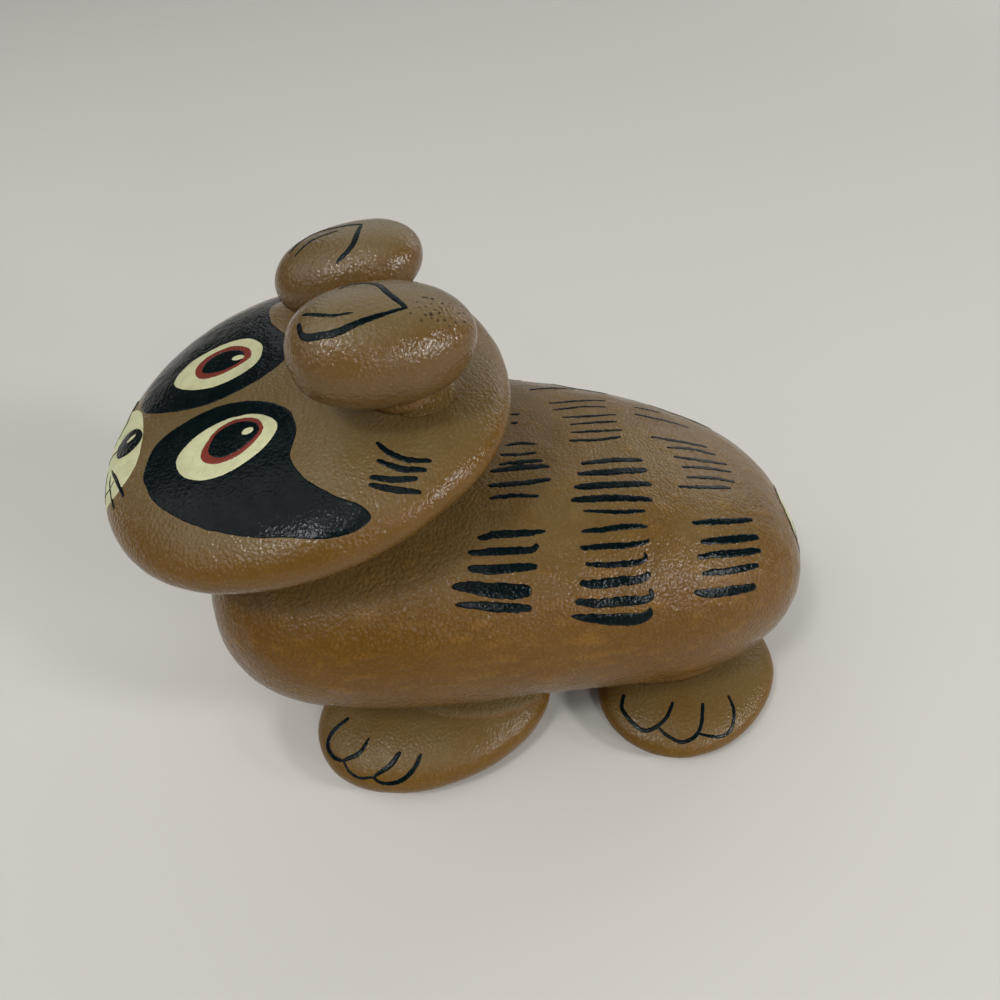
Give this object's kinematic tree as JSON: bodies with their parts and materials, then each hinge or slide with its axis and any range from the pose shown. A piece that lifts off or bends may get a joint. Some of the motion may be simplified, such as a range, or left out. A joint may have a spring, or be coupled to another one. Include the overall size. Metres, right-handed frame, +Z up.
{
  "type": "stone raccoon figurine",
  "caption": "Small raccoon figurine glued up from painted pebbles: long body, flat round head tipped forward, oval ears and flat splayed paws that stand it on a shelf.",
  "frame": {"origin": "centre of the figurine's box in plan, on the surface it stands on", "axes": "+Z up, the raccoon looks along -Y, its left side is +X"},
  "size_m": [0.068, 0.1024, 0.0758],
  "materials": {
    "painted_stone": "tan brown paint over a water-worn pebble, satin varnish, fine orange-peel texture",
    "painted_glue": "set adhesive, painted over with the same brown",
    "charcoal_paint": "brushed acrylic, near black with a cool tint, under satin varnish: mask, pupils, nose, fur strokes",
    "cream_paint": "brushed acrylic, off-white: whites and highlights of the eyes, muzzle, tail rings",
    "red_paint": "brushed acrylic, brick red: rings round the pupils"
  },
  "bodies": {
    "root": {"body_stone": "painted_stone", "head_stone": "painted_stone", "left_ear": "painted_stone", "right_ear": "painted_stone", "front_left_paw": "painted_stone", "front_right_paw": "painted_stone", "rear_left_paw": "painted_stone", "rear_right_paw": "painted_stone", "neck_glue": "painted_glue", "left_ear_glue": "painted_glue", "right_ear_glue": "painted_glue", "front_left_paw_glue": "painted_glue", "front_right_paw_glue": "painted_glue", "rear_left_paw_glue": "painted_glue", "rear_right_paw_glue": "painted_glue"}
  },
  "joints": []
}
